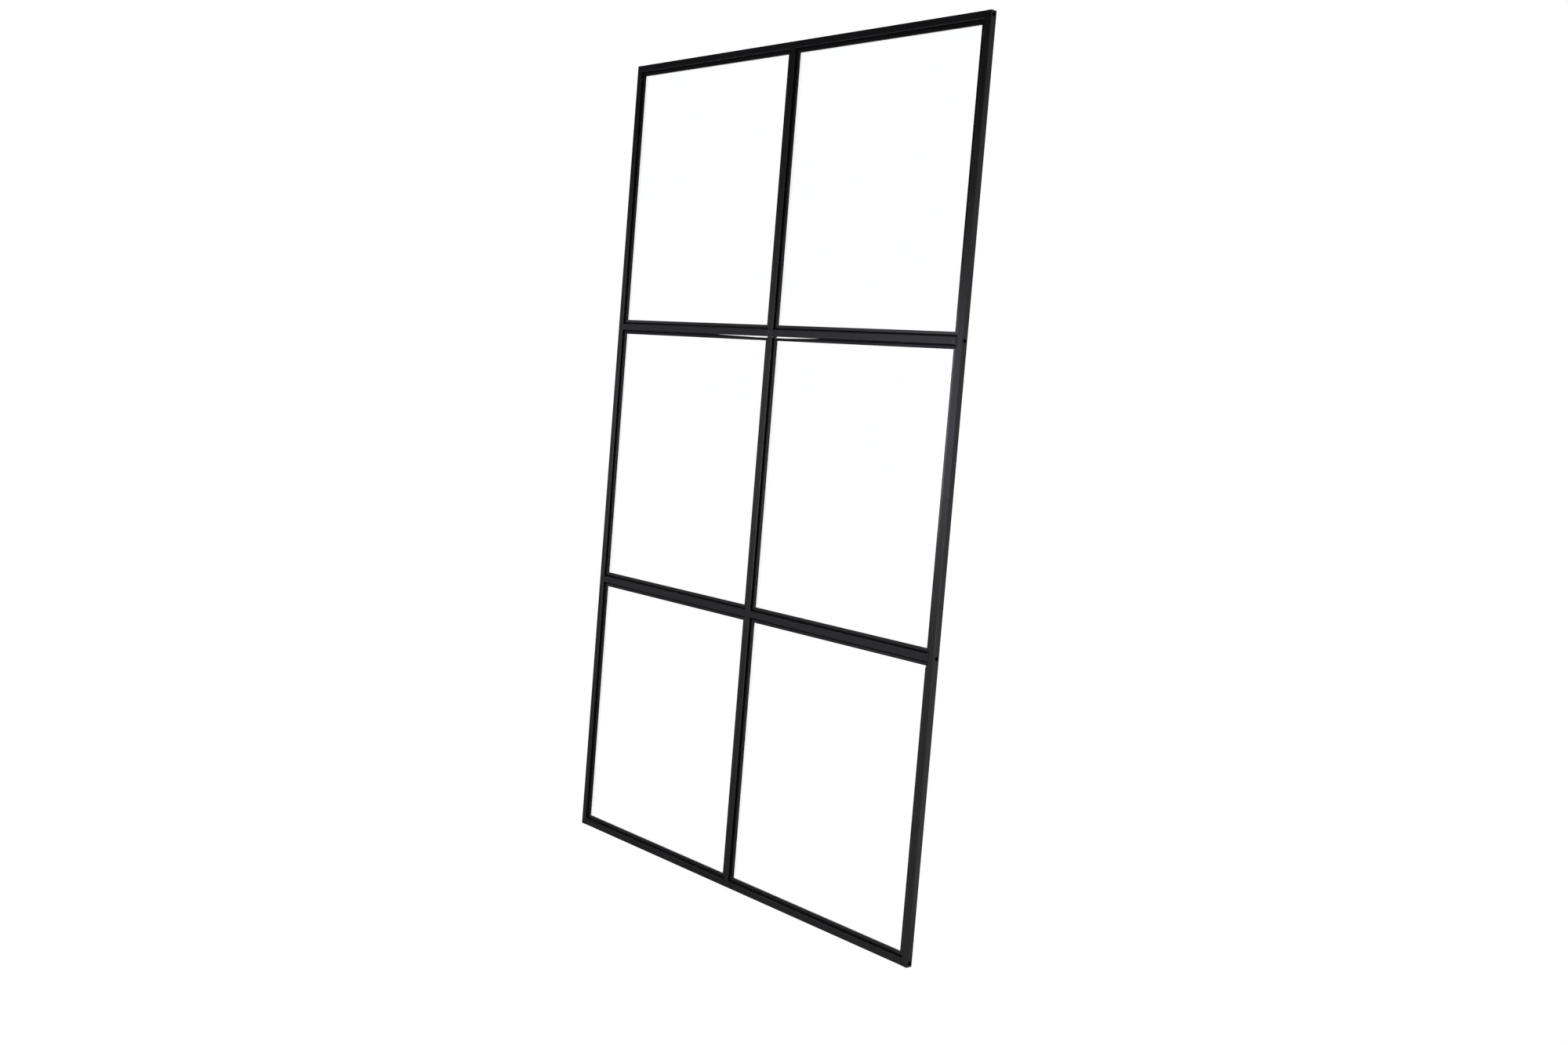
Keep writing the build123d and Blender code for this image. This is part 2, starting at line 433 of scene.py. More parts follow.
@dataclass(frozen=True)
class ClearGlass:
    """Clear float glass. Its cut edges look green, and light passes through to what is behind."""

    name: str = "clear_float_glass"
    face_colour: Colour = (0.99, 1.0, 0.995)
    edge_colour: Colour = (0.45, 0.78, 0.68)
    face_edge: Edge = (0.3, 0.9)
    lamp_colour: Colour = (0.97, 0.98, 0.975)
    refraction: float = 1.5
    ripple_scale: float = 5.0
    ripple_depth: float = 0.05 * MM
    ripple_strength: float = 0.2

    def material(self) -> bpy.types.Material:
        """Build the glass.

        Returns:
            The finished material.
        """
        made, graph = new_graph(self.name)
        normal = graph.node("ShaderNodeNewGeometry", output="Normal")
        facing = graph.node("ShaderNodeSeparateXYZ", {}, {"Vector": normal}, "Y")
        on_face = facing * facing
        ripples = graph.noise(graph.place(), self.ripple_scale, detail=1.0)
        sockets = {
            "Base Color": graph.mix(on_face.step(*self.face_edge), self.edge_colour, self.face_colour),
            "Roughness": 0.0,
            "IOR": self.refraction,
            "Transmission Weight": 1.0,
            "Normal": graph.bump(ripples, self.ripple_depth, self.ripple_strength),
        }
        body = graph.node("ShaderNodeBsdfPrincipled", {}, sockets)
        passing = graph.node("ShaderNodeBsdfTransparent", {}, {"Color": (*self.lamp_colour, 1.0)})
        from_lamp = graph.node("ShaderNodeLightPath", output="Is Shadow Ray")
        graph.show(graph.node("ShaderNodeMixShader", {}, {0: from_lamp, 1: body, 2: passing}))
        return made


@dataclass(frozen=True)
class TurnedMetal:
    """Metal with fine tool marks round the X axis, for the screws and plugs."""

    name: str
    colour: Colour
    dark_colour: Colour
    roughness: float
    metallic: float
    ring_stretch: Point = (1.0, 0.05, 0.05)
    ring_scale: float = 2500.0
    ring_depth: float = 0.01 * MM
    ring_strength: float = 0.5
    stain_scale: float = 300.0
    stain_edge: Edge = (0.35, 0.7)
    stain_roughness: float = 0.15

    def material(self) -> bpy.types.Material:
        """Build the metal.

        Returns:
            The finished material.
        """
        made, graph = new_graph(self.name)
        rings = graph.noise(graph.place(self.ring_stretch), self.ring_scale, detail=1.0)
        stain = graph.noise(graph.place(), self.stain_scale, detail=4.0)
        sockets = {
            "Base Color": graph.mix(stain.step(*self.stain_edge), self.colour, self.dark_colour),
            "Metallic": self.metallic,
            "Roughness": self.roughness + self.stain_roughness * stain,
            "Normal": graph.bump(rings, self.ring_depth, self.ring_strength),
        }
        graph.show(graph.node("ShaderNodeBsdfPrincipled", {}, sockets))
        return made


@dataclass(frozen=True)
class MouldedPlastic:
    """Black moulded plastic with a spark-eroded grain and scuffs."""

    name: str = "cap_plastic_grained"
    colour: Colour = (0.0070, 0.0070, 0.0076)
    scuff_colour: Colour = (0.030, 0.030, 0.031)
    roughness: float = 0.5
    shine: float = 0.32
    grain_scale: float = 1800.0
    grain_roughness: float = 0.1
    grain_depth: float = 0.02 * MM
    grain_strength: float = 0.6
    scuff_stretch: Point = (1.0, 1.0, 8.0)
    scuff_scale: float = 150.0
    scuff_edge: Edge = (0.62, 0.75)
    scuff_share: float = 0.5
    scuff_roughness: float = 0.1

    def material(self) -> bpy.types.Material:
        """Build the plastic.

        Returns:
            The finished material.
        """
        made, graph = new_graph(self.name)
        grain_sockets = {"Vector": graph.place(), "Scale": self.grain_scale}
        grain = graph.node("ShaderNodeTexVoronoi", {}, grain_sockets, "Distance")
        marks = graph.noise(graph.place(self.scuff_stretch), self.scuff_scale, detail=4.0)
        scuffs = marks.step(*self.scuff_edge)
        sockets = {
            "Base Color": graph.mix(self.scuff_share * scuffs, self.colour, self.scuff_colour),
            "Roughness": self.roughness + self.grain_roughness * grain + self.scuff_roughness * scuffs,
            "Specular IOR Level": self.shine,
            "Normal": graph.bump(grain, self.grain_depth, self.grain_strength),
        }
        graph.show(graph.node("ShaderNodeBsdfPrincipled", {}, sockets))
        return made


# Modelling

class Bench:
    """Selecting, shaping and finishing of one mesh piece with Blender's operators."""

    def __init__(self, name: str) -> None:
        """Clear the selection before a new primitive is added.

        Args:
            name: Name of the piece.
        """
        self.name = name
        bpy.ops.object.select_all(action="DESELECT")

    @property
    def piece(self) -> bpy.types.Object:
        """The piece on the bench."""
        return bpy.context.view_layer.objects.active

    def take(self) -> "Bench":
        """Name the primitive that was just added.

        Returns:
            This bench.
        """
        self.piece.name = self.name
        self.piece.data.name = self.name
        return self

    def edit(self, choose: Callable[[bmesh.types.BMFace], bool]) -> "Bench":
        """Enter edit mode with some faces selected.

        Args:
            choose: Says whether a face is selected.

        Returns:
            This bench.
        """
        if self.piece.mode != "EDIT":
            bpy.ops.object.mode_set(mode="EDIT")
        bpy.ops.mesh.select_mode(type="FACE")
        bpy.ops.mesh.select_all(action="DESELECT")
        mesh = bmesh.from_edit_mesh(self.piece.data)
        for face in mesh.faces:
            face.select_set(choose(face))
        mesh.select_flush_mode()
        bmesh.update_edit_mesh(self.piece.data)
        return self

    def done(self) -> "Bench":
        """Leave edit mode."""
        bpy.ops.object.mode_set(mode="OBJECT")
        return self

    def modify(self, kind: str, **settings: object) -> "Bench":
        """Add a modifier and apply it.

        Args:
            kind: Type of the modifier.
            **settings: The modifier's properties.

        Returns:
            This bench.
        """
        modifier = self.piece.modifiers.new(kind.lower(), kind)
        for name, setting in settings.items():
            setattr(modifier, name, setting)
        bpy.ops.object.modifier_apply(modifier=modifier.name)
        return self

    def settle(self) -> bpy.types.Object:
        """Move the piece's place into its mesh and smooth its round faces.

        Returns:
            The piece, at the origin, unturned and unscaled.
        """
        bpy.ops.object.transform_apply(location=True, rotation=True, scale=True)
        bpy.ops.object.shade_smooth_by_angle(angle=math.radians(SMOOTH_ANGLE))
        return self.piece


def looks_up(face: bmesh.types.BMFace) -> bool:
    """Whether a face looks up."""
    return face.normal.z > FACING


def looks_down(face: bmesh.types.BMFace) -> bool:
    """Whether a face looks down."""
    return face.normal.z < -FACING


def any_face(face: bmesh.types.BMFace) -> bool:
    """Choose every face."""
    return True


def activate(piece: bpy.types.Object) -> None:
    """Select one piece alone and make it active.

    Args:
        piece: The piece.
    """
    bpy.ops.object.select_all(action="DESELECT")
    piece.select_set(True)
    bpy.context.view_layer.objects.active = piece


def face_outwards(piece: bpy.types.Object) -> None:
    """Turn the faces of closed parts outwards.

    Args:
        piece: The piece.
    """
    activate(piece)
    bpy.ops.object.mode_set(mode="EDIT")
    bpy.ops.mesh.select_all(action="SELECT")
    bpy.ops.mesh.normals_make_consistent(inside=False)
    bpy.ops.object.mode_set(mode="OBJECT")


def joined(name: str, pieces: list[bpy.types.Object]) -> bpy.types.Object:
    """Join pieces into one.

    Args:
        name: Name of the joined piece.
        pieces: The pieces, each with its own mesh.

    Returns:
        The joined piece.
    """
    bpy.ops.object.select_all(action="DESELECT")
    for piece in pieces:
        piece.select_set(True)
    bpy.context.view_layer.objects.active = pieces[0]
    bpy.ops.object.join()
    whole = bpy.context.view_layer.objects.active
    whole.name = name
    whole.data.name = name
    return whole


def copied(piece: bpy.types.Object, place: Callable[[Vector], Vector]) -> bpy.types.Object:
    """Copy a piece with a mesh of its own.

    Args:
        piece: The piece to copy.
        place: Moves a point of the piece to its place on the copy.

    Returns:
        The copy.
    """
    copy = bpy.data.objects.new(piece.name, piece.data.copy())
    bpy.context.collection.objects.link(copy)
    for vertex in copy.data.vertices:
        vertex.co = place(vertex.co)
    return copy


def dress(piece: bpy.types.Object, finish: bpy.types.Material) -> None:
    """Give every slot of a piece the same finish.

    Args:
        piece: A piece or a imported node.
        finish: The material.
    """
    if not piece.data.materials:
        piece.data.materials.append(finish)
    for slot in piece.material_slots:
        slot.material = finish


def report(piece: bpy.types.Object) -> None:
    """Log the name and the number of faces of a piece."""
    LOG.info("%s: %d faces", piece.name, len(piece.data.polygons))


# Sub-assemblies

# Roughness of the coat on most of the bars
BAR_ROUGHNESS = 0.26


@dataclass
class Openings:
    """The six clear openings between the tubes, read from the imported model."""

    def span(self, low_node: str, high_node: str, axis: Axis) -> tuple[float, float]:
        """Clear space between two tubes.

        Args:
            low_node: The tube at the lower end.
            high_node: The tube at the higher end.
            axis: The direction to measure.

        Returns:
            The two ends of the space.
        """
        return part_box(low_node)[1][axis.value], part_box(high_node)[0][axis.value]

    def across(self, column: Column) -> tuple[float, float]:
        """Clear space across a column.

        Args:
            column: The column.

        Returns:
            Its left and right.
        """
        if column is Column.LEFT:
            return self.span("left_stile", "mullion_middle", Axis.X)
        return self.span("mullion_middle", "right_stile", Axis.X)

    def upright(self, row: Row) -> tuple[float, float]:
        """Clear space up a row.

        Args:
            row: The row.

        Returns:
            Its bottom and top.
        """
        tubes = {
            Row.LOWER: ("bottom_rail", "lower_transom"),
            Row.MIDDLE: ("lower_transom", "upper_transom"),
            Row.UPPER: ("upper_transom", "top_rail"),
        }
        return self.span(*tubes[row], Axis.Z)


@dataclass
class SteelFrame:
    """Tubes of the frame, in their powder coat.

    The upper transom has worn specks with a painted highlight at two spots. crossing_spot is measured
    from the middle of the transom, and end_spot from its right end.
    """

    uprights: tuple[str, ...] = ("left_stile", "right_stile", "mullion_lower", "mullion_middle",
                                 "mullion_upper")
    levels: tuple[str, ...] = ("bottom_rail", "lower_transom", "upper_transom", "top_rail")
    crossing_spot: tuple[float, float] = (-6 * MM, -6 * MM)
    end_spot: tuple[float, float] = (-4 * MM, -7 * MM)

    def build(self) -> None:
        """Dress the tubes."""
        self._dress(self.uprights, PowderCoat("powder_coat_upright", Axis.Z))
        self._dress(self.levels, PowderCoat("powder_coat_level", Axis.X, rubbed_and_highlit=self._rubbed_highlit_spots()))

    def _rubbed_highlit_spots(self) -> tuple[Point, ...]:
        """Places on the front of the upper transom with worn specks and a painted highlight.

        Returns:
            One place beside the mullion and one at the right end.
        """
        low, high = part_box("upper_transom")
        level = (low.z + high.z) / 2
        crossing_x, crossing_z = self.crossing_spot
        end_x, end_z = self.end_spot
        return (crossing_x, low.y, level + crossing_z), (high.x + end_x, low.y, level + end_z)

    def _dress(self, nodes: tuple[str, ...], finish: PowderCoat) -> None:
        """Dress some tubes alike.

        Args:
            nodes: Names of the tubes.
            finish: Their coat.
        """
        material = finish.material()
        for node in nodes:
            dress(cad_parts[node], material)
            report(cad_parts[node])


@dataclass(frozen=True)
class BarGroup:
    """The bars beside one side of an upright, and how their lugs lie.

    side is 1 where the bars stand to the right of the upright, and -1 to its left.
    """

    node: str
    side: int
    lug_setback: float
    corner_lugs: bool
    roughness: float = BAR_ROUGHNESS
    shine: float = 0.32
    # Whether the outer mitres carry worn specks with a painted highlight
    rubbed_highlit_mitres: bool = False


@dataclass(frozen=True)
class LevelBars:
    """The bars along one side of a level tube, and how their coat shines."""

    node: str
    roughness: float = BAR_ROUGHNESS
    shine: float = 0.32


@dataclass
class GlazingBars:
    """Flat bars, with a tack weld at each toe of the lugs beside the uprights."""

    openings: Openings
    lug_from_corner: float = 22 * MM
    lug_length: float = 5 * MM
    lug_depth: float = 3.5 * MM
    bead_width: float = 1.7 * MM
    bead_height: float = 1.1 * MM
    bead_sides: int = 12
    bead_rings: int = 8
    bead_ripple: float = 0.06
    bead_seed: int = 5
    # Size and place of the worn specks with their painted highlight at the mitres
    mitre_spot: float = 6 * MM
    mitre_inset: float = 4 * MM
    mitre_offset: float = -1 * MM
    uprights: tuple[BarGroup, ...] = (
        BarGroup("left_stile_bars", side=1, lug_setback=0.3 * MM, corner_lugs=True, shine=0.24),
        BarGroup("mullion_left_bars", side=-1, lug_setback=1.0 * MM, corner_lugs=False),
        BarGroup("mullion_right_bars", side=1, lug_setback=1.0 * MM, corner_lugs=False,
                 rubbed_highlit_mitres=True),
        BarGroup("right_stile_bars", side=-1, lug_setback=0.3 * MM, corner_lugs=True, roughness=0.17),
    )
    levels: tuple[LevelBars, ...] = (
        LevelBars("bottom_rail_bars"),
        LevelBars("lower_transom_bottom_bars"),
        LevelBars("lower_transom_top_bars"),
        LevelBars("upper_transom_bottom_bars", shine=0.18),
        LevelBars("upper_transom_top_bars", shine=0.38),
        LevelBars("top_rail_bars"),
    )

    def build(self) -> None:
        """Dress the bars and weld their lugs."""
        for bars in self.levels:
            coat = PowderCoat(f"powder_coat_{bars.node}", Axis.X, roughness=bars.roughness,
                              shine=bars.shine)
            dress(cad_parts[bars.node], coat.material())
            report(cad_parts[bars.node])
        bead = self._bead()
        for group in self.uprights:
            coat = PowderCoat(f"powder_coat_{group.node}", Axis.Z, roughness=group.roughness,
                              shine=group.shine, rubbed_and_highlit=self._rubbed_highlit_spots(group),
                              rubbed_highlit_radius=self.mitre_spot).material()
            dress(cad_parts[group.node], coat)
            report(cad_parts[group.node])
            self._weld(group, bead, coat)
        bpy.data.objects.remove(bead)

    def _rubbed_highlit_spots(self, group: BarGroup) -> tuple[Point, ...]:
        """Places at the outer mitres beside the mullion where the coat is worn through, with a painted
        highlight.

        Args:
            group: The bars.

        Returns:
            One place at the lowest mitre and one at the highest, or none.
        """
        if not group.rubbed_highlit_mitres:
            return ()
        low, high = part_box(group.node)
        middle = (low.x + high.x) / 2 + group.side * self.mitre_offset
        return (middle, low.y, low.z + self.mitre_inset), (middle, low.y, high.z - self.mitre_inset)

    def _bead(self) -> bpy.types.Object:
        """Half round bead with a rippled skin, at the origin, long along Y and raised along Z.

        Returns:
            The bead, to be copied.
        """
        bench = Bench("lug_weld_bead")
        bpy.ops.mesh.primitive_uv_sphere_add(segments=self.bead_sides, ring_count=self.bead_rings,
                                             radius=1.0)
        bench.take().edit(any_face)
        bpy.ops.mesh.bisect(plane_co=(0, 0, 0), plane_no=(0, 0, 1), use_fill=True, clear_inner=True)
        bench.edit(any_face)
        bpy.ops.transform.vertex_random(offset=self.bead_ripple, seed=self.bead_seed)
        size = (self.bead_width / 2, self.lug_depth / 2, self.bead_height)
        bpy.ops.transform.resize(value=size, center_override=(0.0, 0.0, 0.0))
        bench.done()
        return bench.settle()

    def _weld(self, group: BarGroup, bead: bpy.types.Object, coat: bpy.types.Material) -> None:
        """Weld the lugs of one group of bars.

        Args:
            group: The bars.
            bead: The bead to copy.
            coat: Their finish.
        """
        low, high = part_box(group.node)
        tube = low.x if group.side > 0 else high.x
        middle_y = low.y + group.lug_setback + self.lug_depth / 2
        beads = []
        for row in Row:
            for lug in self._lugs(group, *self.openings.upright(row)):
                for toe in (-self.lug_length / 2, self.lug_length / 2):
                    beads.append(copied(bead, self._placer(tube, group.side, middle_y, lug + toe)))
        welds = joined(f"{group.node}_tack_welds", beads)
        face_outwards(welds)
        dress(welds, coat)
        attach(welds, BODY)
        report(welds)

    def _lugs(self, group: BarGroup, bottom: float, top: float) -> list[float]:
        """Places of the lugs of one bar.

        Args:
            group: The bars.
            bottom: Where the opening starts.
            top: Where the opening ends.

        Returns:
            The middle of each lug.
        """
        middle = (bottom + top) / 2
        if group.corner_lugs:
            return [bottom + self.lug_from_corner, middle, top - self.lug_from_corner]
        return [middle]

    @staticmethod
    def _placer(tube: float, side: int, middle_y: float, level: float) -> Callable[[Vector], Vector]:
        """Rule that puts the bead at one toe of a lug.

        Args:
            tube: Place of the tube's face.
            side: Side of the face that the bead stands on.
            middle_y: Place from front to back.
            level: Height of the toe.

        Returns:
            A function that moves a point of the bead.
        """
        def place(point: Vector) -> Vector:
            """Move one point of the bead to the lug."""
            return Vector((tube + side * point.z, middle_y + point.y, level + point.x))
        return place


@dataclass
class RubberChannel:
    """Rubber channel round one pane: a cushion behind the bars, a bed and a narrow back lip.

    cushion_start and cushion_end are distances from the tube. first_radius and first_thickness are
    the ring's size before it is fitted. worn_depth and worn_lengths are the wedge that is worn out
    over each middle pane, and spare is how far its cutter stands past the channel.
    """

    row: Row
    column: Column
    openings: Openings
    cushion_start: float = 5.0 * MM
    cushion_end: float = 11.7 * MM
    glass_gap: float = 0.05 * MM
    bed_thickness: float = 1.0 * MM
    lip_height: float = 1.2 * MM
    lip_radius: float = 0.35 * MM
    lip_segments: int = 3
    sharp_angle: float = 60.0
    groove_depth: float = 0.5 * MM
    first_radius: float = 300 * MM
    first_thickness: float = 10 * MM
    spare: float = 1.0 * MM
    worn_depth: float = 5.0 * MM
    worn_lengths: dict[Column, float] = field(default_factory=lambda: {
        Column.LEFT: 250 * MM,
        Column.RIGHT: 195 * MM,
    })

    @property
    def node(self) -> str:
        """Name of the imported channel."""
        return f"rubber_{self.row.value}_{self.column.value}"

    def section(self) -> list[tuple[float, float]]:
        """Outline of the channel, with a groove at the middle of its cushion.

        Returns:
            Distances from the tube, each with its place from front to back.
        """
        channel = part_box(self.node)
        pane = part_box(f"glass_{self.row.value}_{self.column.value}")
        left = self.openings.across(self.column)[0]
        bed = pane[0].x - left - self.glass_gap
        lip = bed + self.lip_height
        front, back = channel[0].y, channel[1].y
        face, rear = pane[0].y - self.glass_gap, pane[1].y + self.glass_gap
        outer = face - self.bed_thickness
        third = (face - front) / 3
        groove = self.cushion_end - self.groove_depth
        return [
            (self.cushion_start, outer), (self.cushion_start, front), (self.cushion_end, front),
            (self.cushion_end, front + third), (groove, front + 1.5 * third),
            (self.cushion_end, front + 2 * third), (self.cushion_end, face),
            (bed, face), (bed, rear), (lip, rear), (lip, back), (0.0, back), (0.0, outer),
        ]

    def build(self, rubber: bpy.types.Material) -> None:
        """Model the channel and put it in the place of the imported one.

        Args:
            rubber: Its finish.
        """
        section = self.section()
        bench = Bench(f"{self.node}_channel")
        bpy.ops.mesh.primitive_torus_add(major_segments=4, minor_segments=len(section),
                                         major_radius=self.first_radius, minor_radius=self.first_thickness)
        bench.take()
        self._fit(bench.piece, section)
        bench.modify("BEVEL", width=self.lip_radius, segments=self.lip_segments, limit_method="ANGLE",
                     angle_limit=math.radians(self.sharp_angle))
        if self.row is Row.MIDDLE:
            self._wear(bench)
        channel = bench.settle()
        dress(channel, rubber)
        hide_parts(self.node)
        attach(channel, BODY)
        report(channel)

    def _fit(self, ring: bpy.types.Object, section: list[tuple[float, float]]) -> None:
        """Fit a ring of four corners to the opening.

        Args:
            ring: Torus with four corners and one vertex a section point at each.
            section: Outline of the channel.
        """
        left, right = self.openings.across(self.column)
        bottom, top = self.openings.upright(self.row)
        corners = ((left, bottom, 1, 1), (right, bottom, -1, 1), (right, top, -1, -1), (left, top, 1, -1))
        for index, vertex in enumerate(ring.data.vertices):
            corner_x, corner_z, inwards_x, inwards_z = corners[index // len(section)]
            inset, depth = section[index % len(section)]
            vertex.co = (corner_x + inwards_x * inset, depth, corner_z + inwards_z * inset)
        face_outwards(ring)

    def _wear(self, bench: Bench) -> None:
        """Cut away the wedge that is worn out of the top side beside the mullion.

        Args:
            bench: Bench that holds the channel.
        """
        channel = bench.piece
        left, right = self.openings.across(self.column)
        top = self.openings.upright(self.row)[1]
        mullion, outwards = (right, -1) if self.column is Column.LEFT else (left, 1)
        length = self.worn_lengths[self.column]
        low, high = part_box(self.node)
        cutter_bench = Bench("worn_wedge")
        bpy.ops.mesh.primitive_cylinder_add(vertices=3, radius=1.0, depth=high.y - low.y + 2 * self.spare)
        cutter = cutter_bench.take().piece
        slope = self.worn_depth / length
        outline = (
            (mullion - outwards * self.spare, top + self.spare),
            (mullion - outwards * self.spare, top - self.worn_depth - slope * self.spare),
            (mullion + outwards * (length + self.spare / slope), top + self.spare),
        )
        turns = [corner * math.tau / 3 for corner in range(3)]
        triangle = [Vector((math.sin(turn), math.cos(turn))) for turn in turns]
        for vertex in cutter.data.vertices:
            near = min(range(3), key=lambda corner: (vertex.co.xy - triangle[corner]).length)
            x, z = outline[near]
            vertex.co = (x, (low.y + high.y) / 2 + vertex.co.z, z)
        face_outwards(cutter)
        activate(channel)
        bench.modify("BOOLEAN", operation="DIFFERENCE", solver="EXACT", object=cutter)
        bpy.data.objects.remove(cutter)


@dataclass
class Glazing:
    """Six panes of clear glass, each in its rubber channel."""

    openings: Openings

    def build(self) -> None:
        """Dress the panes and model the channels."""
        glass = ClearGlass().material()
        rubber = Rubber().material()
        for row in Row:
            for column in Column:
                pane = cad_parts[f"glass_{row.value}_{column.value}"]
                dress(pane, glass)
                report(pane)
                RubberChannel(row, column, self.openings).build(rubber)


@dataclass
class Fixings:
    """Socket screws through the stiles, and the plugs in the rails' ends that take them.

    point_share is how wide a screw's point ends, as a share of its shank.
    """

    head_diameter: float = 9.0 * MM
    head_height: float = 3.4 * MM
    head_chamfer: float = 0.5 * MM
    chamfer_segments: int = 2
    shank_diameter: float = 5.0 * MM
    shank_length: float = 16.0 * MM
    point_length: float = 0.9 * MM
    point_share: float = 0.75
    socket_width: float = 3.0 * MM
    socket_depth: float = 2.0 * MM
    socket_sides: int = 6
    sides: int = 24
    rails: tuple[str, ...] = ("bottom_rail", "lower_transom", "upper_transom", "top_rail")
    blackened: TurnedMetal = TurnedMetal(
        "screw_steel_blackened", colour=(0.035, 0.034, 0.036), dark_colour=(0.012, 0.012, 0.013),
        roughness=0.38, metallic=0.8,
    )
    bare: TurnedMetal = TurnedMetal(
        "plug_steel_turned", colour=(0.46, 0.45, 0.44), dark_colour=(0.30, 0.29, 0.28),
        roughness=0.36, metallic=1.0,
    )

    def build(self) -> None:
        """Model the screws and dress the plugs."""
        blackened = self.blackened.material()
        dress(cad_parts["rail_end_plugs"], self.bare.material())
        report(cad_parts["rail_end_plugs"])
        pattern = self._screw()
        screws = []
        for rail in self.rails:
            low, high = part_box(rail)
            for side in (-1, 1):
                screws.append(copied(pattern, self._placer(side, (low.z + high.z) / 2)))
        bpy.data.objects.remove(pattern)
        whole = joined("socket_screws", screws)
        face_outwards(whole)
        dress(whole, blackened)
        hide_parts("assembly_screws")
        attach(whole, BODY)
        report(whole)

    def _screw(self) -> bpy.types.Object:
        """One screw, with its head on the plane of X and Y and its shank below.

        Returns:
            The screw, to be copied.
        """
        bench = Bench("socket_screw")
        bpy.ops.mesh.primitive_cylinder_add(vertices=self.sides, radius=self.head_diameter / 2,
                                            depth=self.head_height, location=(0, 0, self.head_height / 2))
        bench.take().edit(looks_up)
        bpy.ops.mesh.bevel(offset=self.head_chamfer, segments=self.chamfer_segments)
        bench.edit(looks_down)
        bpy.ops.mesh.inset(thickness=(self.head_diameter - self.shank_diameter) / 2)
        self._draw_out(self.shank_length - self.point_length)
        self._draw_out(self.point_length)
        taper = (self.point_share, self.point_share, 1.0)
        bpy.ops.transform.resize(value=taper, center_override=(0.0, 0.0, 0.0))
        screw = bench.done().settle()
        cutter_bench = Bench("hexagon_socket")
        socket_radius = self.socket_width / (2 * math.cos(math.pi / self.socket_sides))
        bpy.ops.mesh.primitive_cylinder_add(vertices=self.socket_sides, radius=socket_radius,
                                            depth=2 * self.socket_depth, location=(0, 0, self.head_height))
        cutter = cutter_bench.take().settle()
        activate(screw)
        bench.modify("BOOLEAN", operation="DIFFERENCE", solver="EXACT", object=cutter)
        bpy.data.objects.remove(cutter)
        return bench.settle()

    @staticmethod
    def _draw_out(length: float) -> None:
        """Extrude the selected end downwards.

        Args:
            length: How far it is drawn out.
        """
        bpy.ops.mesh.extrude_region_move(TRANSFORM_OT_translate={"value": (0.0, 0.0, -length)})

    def _placer(self, side: int, level: float) -> Callable[[Vector], Vector]:
        """Rule that puts the screw through one stile.

        Args:
            side: -1 for the left stile, 1 for the right one.
            level: Height of the screw.

        Returns:
            A function that moves a point of the screw.
        """
        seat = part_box("assembly_screws")[1].x - self.head_height

        def place(point: Vector) -> Vector:
            """Move one point of the screw to the stile."""
            return Vector((side * (seat + point.z), point.y, level + point.x))
        return place


@dataclass
class EndCaps:
    """Plastic caps in the ends of the stiles."""

    node: str = "stile_end_caps"

    def build(self) -> None:
        """Dress the caps."""
        dress(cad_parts[self.node], MouldedPlastic().material())
        report(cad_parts[self.node])


# Studio

@dataclass(frozen=True)
class Lamp:
    """Soft rectangular lamp. A gloss_only lamp shows in gloss and adds no matt light."""

    name: str
    place: Point
    aim: Point
    width: float
    height: float
    power: float
    colour: Colour = (1.0, 0.97, 1.15)
    gloss_only: bool = False

    def build(self) -> None:
        """Hang the lamp."""
        light = bpy.data.lights.new(self.name, "AREA")
        light.shape = "RECTANGLE"
        light.size = self.width
        light.size_y = self.height
        light.energy = self.power
        light.color = self.colour
        lamp = bpy.data.objects.new(self.name, light)
        lamp.location = self.place
        lamp.rotation_euler = (Vector(self.aim) - Vector(self.place)).to_track_quat("-Z", "Y").to_euler()
        lamp.visible_camera = False
        lamp.visible_transmission = False
        lamp.visible_diffuse = not self.gloss_only
        bpy.context.collection.objects.link(lamp)


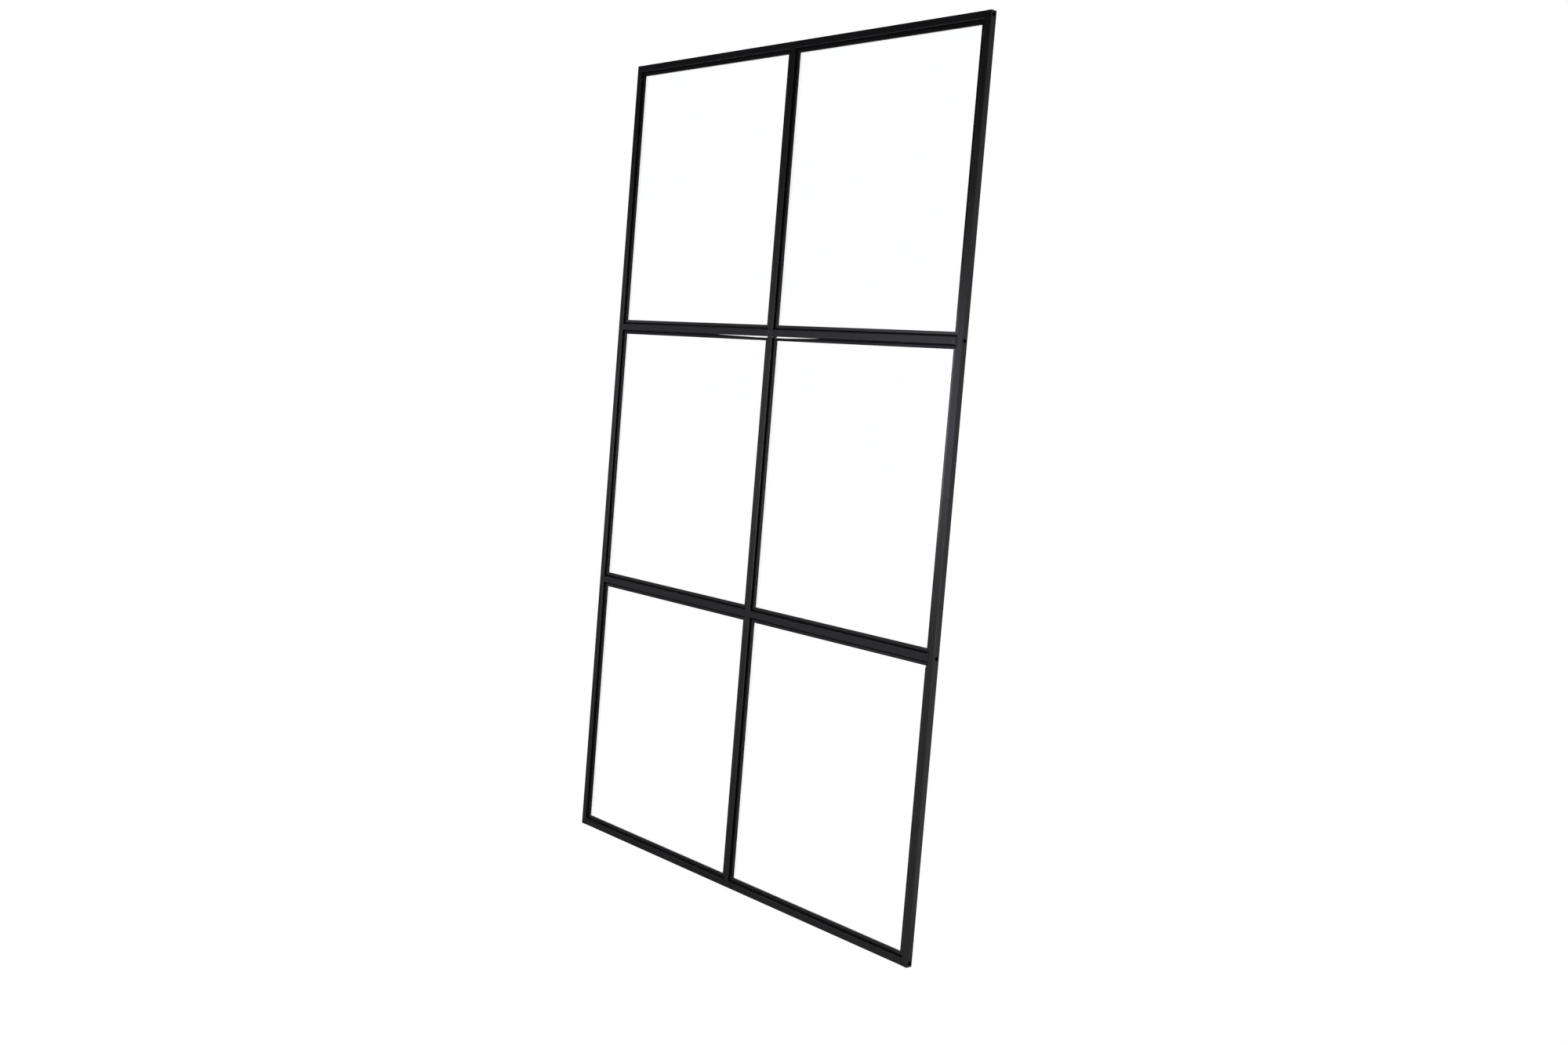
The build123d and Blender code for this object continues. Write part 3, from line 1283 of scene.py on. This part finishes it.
@dataclass
class Studio:
    """Pale floor, white surroundings, soft lamps and the camera.

    Fields with gloss in their name are what the object's coat mirrors, from behind it, from its
    right or from the room in front. camera_turn is in degrees, and the lens and the sensor are in
    millimetres.
    """

    floor_width: float = 60.0
    floor_glow: float = 0.80
    floor_brightness: float = 1.19
    floor_colour: Colour = (0.60, 0.60, 0.60)
    floor_gloss_behind: float = 0.85
    floor_behind: Edge = (0.0, 0.5)
    floor_gloss_right: float = 0.48
    floor_right: Edge = (-0.3, 1.3)
    floor_slant: float = 1.1
    surroundings: float = 0.45
    backdrop_gloss: float = 1.12
    backdrop_edge: Edge = (-0.1, 0.3)
    backdrop_fall: Edge = (0.7, -0.28)
    room_gloss: float = 0.04
    camera_place: Point = (3.344, -2.951, 1.432)
    camera_turn: Point = (86.213, -4.689, 47.989)
    camera_lens: float = 36.22
    camera_sensor: float = 36.0
    camera_shift: float = -0.01724
    lamps: tuple[Lamp, ...] = field(default_factory=lambda: (
        Lamp("front_band_left", place=(-4.85, -3.0, 1.35), aim=(-4.85, 0.0, 1.35),
             width=1.6, height=2.0, power=11.5),
        Lamp("front_band_right", place=(-1.7, -3.0, 1.34), aim=(-1.7, 0.0, 1.34),
             width=1.2, height=1.1, power=19.5),
        Lamp("camera_strip", place=(2.9, -3.5, 0.97), aim=(0.3, 0.0, 0.97),
             width=0.6, height=1.6, power=140.0, gloss_only=True),
    ))

    def build(self) -> None:
        """Set the stage round the object."""
        self._floor()
        self._world()
        for lamp in self.lamps:
            lamp.build()
        self._camera()
        bpy.context.scene.view_settings.view_transform = "Standard"

    @staticmethod
    def _seen(graph: Graph) -> Value:
        """Rays that show the white background: straight, through glass and off polished glass.

        Args:
            graph: Graph of the floor or of the world.

        Returns:
            Mask of the rays.
        """
        camera = graph.node("ShaderNodeLightPath", output="Is Camera Ray")
        through = graph.node("ShaderNodeLightPath", output="Is Transmission Ray")
        mirrored = graph.node("ShaderNodeLightPath", output="Is Singular Ray")
        return camera | through | mirrored

    def _floor(self) -> None:
        """Lay the floor, which glows white to the eye and keeps a soft shadow."""
        bench = Bench("studio_floor")
        bpy.ops.mesh.primitive_plane_add(size=self.floor_width)
        floor = bench.take().settle()
        made, graph = new_graph("studio_floor_white")
        matt = graph.node("ShaderNodeBsdfDiffuse", {}, {"Color": (*self.floor_colour, 1.0)})
        glow = graph.node("ShaderNodeEmission", {}, {"Strength": self.floor_brightness})
        position = graph.node("ShaderNodeNewGeometry", output="Position")
        across = graph.node("ShaderNodeSeparateXYZ", {}, {"Vector": position}, "X")
        depth = graph.node("ShaderNodeSeparateXYZ", {}, {"Vector": position}, "Y")
        glossy = graph.node("ShaderNodeLightPath", output="Is Glossy Ray")
        behind = depth.step(*self.floor_behind) * self.floor_gloss_behind
        right = (across - self.floor_slant * depth).step(*self.floor_right) * self.floor_gloss_right
        share = (self._seen(graph) | glossy * (behind | right)) * self.floor_glow
        graph.show(graph.node("ShaderNodeMixShader", {}, {0: share, 1: matt, 2: glow}))
        dress(floor, made)

    def _world(self) -> None:
        """White surroundings behind the object, and a dimmer room in front of it for soft gloss."""
        world = bpy.data.worlds.new("studio_surroundings")
        world.use_nodes = True
        bpy.context.scene.world = world
        graph = Graph(world.node_tree)
        direction = graph.node("ShaderNodeTexCoord", output="Generated")
        depth = graph.node("ShaderNodeSeparateXYZ", {}, {"Vector": direction}, "Y")
        behind = depth.step(*self.backdrop_edge)
        height = graph.node("ShaderNodeSeparateXYZ", {}, {"Vector": direction}, "Z")
        backdrop = height.step(*self.backdrop_fall) * self.backdrop_gloss
        glossy = graph.node("ShaderNodeLightPath", output="Is Glossy Ray")
        gloss = behind * (backdrop - self.room_gloss) + self.room_gloss
        room = glossy * gloss + (1.0 - glossy) * self.surroundings
        white = (1.0, 1.0, 1.0, 1.0)
        sockets = {"Color": white, "Strength": self._seen(graph) | room}
        background = graph.node("ShaderNodeBackground", {}, sockets)
        graph.show(background, "ShaderNodeOutputWorld")

    def _camera(self) -> None:
        """Stand the camera where the photograph was taken from."""
        data = bpy.data.cameras.new("photo_camera")
        data.sensor_width = self.camera_sensor
        data.lens = self.camera_lens
        data.shift_y = self.camera_shift
        camera = bpy.data.objects.new("photo_camera", data)
        camera.location = self.camera_place
        camera.rotation_euler = [math.radians(angle) for angle in self.camera_turn]
        bpy.context.collection.objects.link(camera)
        bpy.context.scene.camera = camera


def main() -> None:
    """Build every sub-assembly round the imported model, and the studio."""
    logging.basicConfig(level=logging.INFO, format="%(name)s: %(message)s")
    openings = Openings()
    SteelFrame().build()
    GlazingBars(openings).build()
    Glazing(openings).build()
    Fixings().build()
    EndCaps().build()
    Studio().build()


if __name__ == "__main__":
    main()
